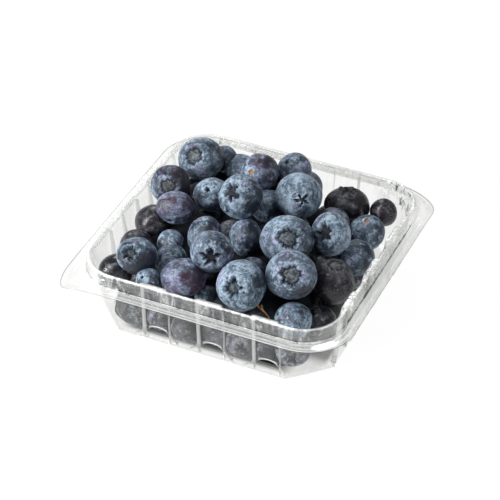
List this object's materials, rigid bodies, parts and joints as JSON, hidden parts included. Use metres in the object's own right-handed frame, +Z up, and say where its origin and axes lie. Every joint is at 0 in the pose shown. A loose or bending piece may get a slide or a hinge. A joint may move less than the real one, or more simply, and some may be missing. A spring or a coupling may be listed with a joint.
{
  "type": "punnet of blueberries",
  "caption": "Clear square plastic punnet with fluted, vented walls, stepped rim and tabbed flange, filled with a heap of blueberries that rises above the rim.",
  "frame": {"origin": "middle of the base, on the surface that the tray stands on", "axes": "+Z up, -Y towards the front wall, +X towards the right wall"},
  "size_m": [0.118, 0.118, 0.0495],
  "materials": {
    "tray": "clear, glossy",
    "blueberries": "waxy bloom over dark blue skin"
  },
  "bodies": {
    "root": {"tray": "tray", "blueberries": "blueberries"}
  },
  "joints": []
}
